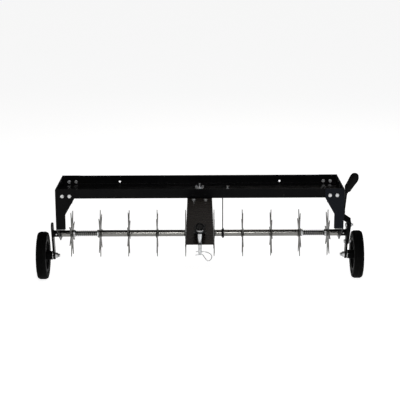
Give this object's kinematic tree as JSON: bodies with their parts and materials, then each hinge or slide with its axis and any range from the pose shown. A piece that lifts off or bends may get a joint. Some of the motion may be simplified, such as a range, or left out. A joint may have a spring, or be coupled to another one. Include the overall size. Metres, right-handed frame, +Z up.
{
  "type": "tow-behind star wheel lawn aerator",
  "caption": "Tow-behind spiked star wheel lawn aerator: weight tray, sprung star row, swing-down transport wheels with hand lever, channel tongue and pinned hitch clevis.",
  "frame": {"origin": "ground plane under the middle of the overall length and width, transport wheels down", "axes": "+X to the right seen from the hitch end, along the star wheel shaft; +Y rearward, away from the hitch; +Z up"},
  "size_m": [1.266, 0.8899, 0.4618],
  "materials": {
    "black_powder_coat": "satin black powder coat",
    "star_steel": "dull zinc on cut sheet",
    "galvanised_tube": "bright galvanised tube",
    "zinc_steel": "bright zinc plate",
    "bare_steel": "drawn bar",
    "black_spring_wire": "oiled black wire",
    "nylon": "moulded nylon",
    "tyre_rubber": "matte moulded rubber",
    "rim_plastic": "moulded black plastic",
    "vinyl_grip": "soft dipped vinyl"
  },
  "bodies": {
    "frame": {"tray_pan": "black_powder_coat", "side_plate_left": "black_powder_coat", "side_plate_right": "black_powder_coat", "corner_bolts": "zinc_steel", "corner_nuts": "zinc_steel", "shaft_bushings": "nylon", "hanger": "black_powder_coat", "hanger_bushing": "nylon", "hanger_bolt": "zinc_steel", "hanger_nut": "zinc_steel", "tongue": "black_powder_coat", "tongue_stiffener": "black_powder_coat", "tongue_bolts": "zinc_steel", "tongue_nuts": "zinc_steel", "centre_bolt": "zinc_steel", "centre_washer": "zinc_steel", "wing_nut": "zinc_steel", "clevis_strap": "black_powder_coat", "clevis_bolts": "zinc_steel", "clevis_nuts": "zinc_steel", "stop_front": "black_powder_coat", "stop_rear": "black_powder_coat"},
    "transport_axle": {"shaft": "bare_steel", "spacer_tubes": "galvanised_tube", "spring_left": "black_spring_wire", "spring_right": "black_spring_wire", "spring_cups": "zinc_steel", "arm_left": "black_powder_coat", "arm_right": "black_powder_coat", "arm_pins": "zinc_steel", "lever": "black_powder_coat", "lever_grip": "vinyl_grip", "lever_bolts": "zinc_steel", "lever_nuts": "zinc_steel", "wheel_bolts": "zinc_steel", "wheel_nuts": "zinc_steel", "wheel_washers": "zinc_steel"},
    "star_01_wheel": {"star_01": "star_steel"},
    "star_02_wheel": {"star_02": "star_steel"},
    "star_03_wheel": {"star_03": "star_steel"},
    "star_04_wheel": {"star_04": "star_steel"},
    "star_05_wheel": {"star_05": "star_steel"},
    "star_06_wheel": {"star_06": "star_steel"},
    "star_07_wheel": {"star_07": "star_steel"},
    "star_08_wheel": {"star_08": "star_steel"},
    "star_09_wheel": {"star_09": "star_steel"},
    "star_10_wheel": {"star_10": "star_steel"},
    "wheel_left": {"tyre_left": "tyre_rubber", "rim_left": "rim_plastic", "wheel_bushing_left": "nylon"},
    "wheel_right": {"tyre_right": "tyre_rubber", "rim_right": "rim_plastic", "wheel_bushing_right": "nylon"},
    "pin": {"hitch_pin": "zinc_steel", "pin_handle": "black_powder_coat"},
    "clip": {"hair_pin": "zinc_steel"}
  },
  "joints": [
    {"name": "transport_swing", "type": "hinge", "parent": "frame", "child": "transport_axle", "pos_m": [0, 0.31473, 0.18948], "axis": [1, 0, 0], "range_deg": [-125, 0]},
    {"name": "star_01_spin", "type": "hinge", "parent": "transport_axle", "child": "star_01_wheel", "pos_m": [-0.495, 0.31473, 0.18948], "axis": [1, 0, 0], "continuous": true},
    {"name": "star_02_spin", "type": "hinge", "parent": "transport_axle", "child": "star_02_wheel", "pos_m": [-0.385, 0.31473, 0.18948], "axis": [1, 0, 0], "continuous": true},
    {"name": "star_03_spin", "type": "hinge", "parent": "transport_axle", "child": "star_03_wheel", "pos_m": [-0.275, 0.31473, 0.18948], "axis": [1, 0, 0], "continuous": true},
    {"name": "star_04_spin", "type": "hinge", "parent": "transport_axle", "child": "star_04_wheel", "pos_m": [-0.165, 0.31473, 0.18948], "axis": [1, 0, 0], "continuous": true},
    {"name": "star_05_spin", "type": "hinge", "parent": "transport_axle", "child": "star_05_wheel", "pos_m": [-0.055, 0.31473, 0.18948], "axis": [1, 0, 0], "continuous": true},
    {"name": "star_06_spin", "type": "hinge", "parent": "transport_axle", "child": "star_06_wheel", "pos_m": [0.055, 0.31473, 0.18948], "axis": [1, 0, 0], "continuous": true},
    {"name": "star_07_spin", "type": "hinge", "parent": "transport_axle", "child": "star_07_wheel", "pos_m": [0.165, 0.31473, 0.18948], "axis": [1, 0, 0], "continuous": true},
    {"name": "star_08_spin", "type": "hinge", "parent": "transport_axle", "child": "star_08_wheel", "pos_m": [0.275, 0.31473, 0.18948], "axis": [1, 0, 0], "continuous": true},
    {"name": "star_09_spin", "type": "hinge", "parent": "transport_axle", "child": "star_09_wheel", "pos_m": [0.385, 0.31473, 0.18948], "axis": [1, 0, 0], "continuous": true},
    {"name": "star_10_spin", "type": "hinge", "parent": "transport_axle", "child": "star_10_wheel", "pos_m": [0.495, 0.31473, 0.18948], "axis": [1, 0, 0], "continuous": true},
    {"name": "wheel_left_spin", "type": "hinge", "parent": "transport_axle", "child": "wheel_left", "pos_m": [-0.614, 0.3428, 0.0935], "axis": [1, 0, 0], "continuous": true},
    {"name": "wheel_right_spin", "type": "hinge", "parent": "transport_axle", "child": "wheel_right", "pos_m": [0.614, 0.3428, 0.0935], "axis": [1, 0, 0], "continuous": true},
    {"name": "hitch_pin_lift", "type": "slide", "parent": "frame", "child": "pin", "axis": [0, 0, 1], "range_m": [0, 0.01]},
    {"name": "hair_pin_pull", "type": "slide", "parent": "pin", "child": "clip", "axis": [1, 0, 0], "range_m": [0, 0.024]}
  ]
}
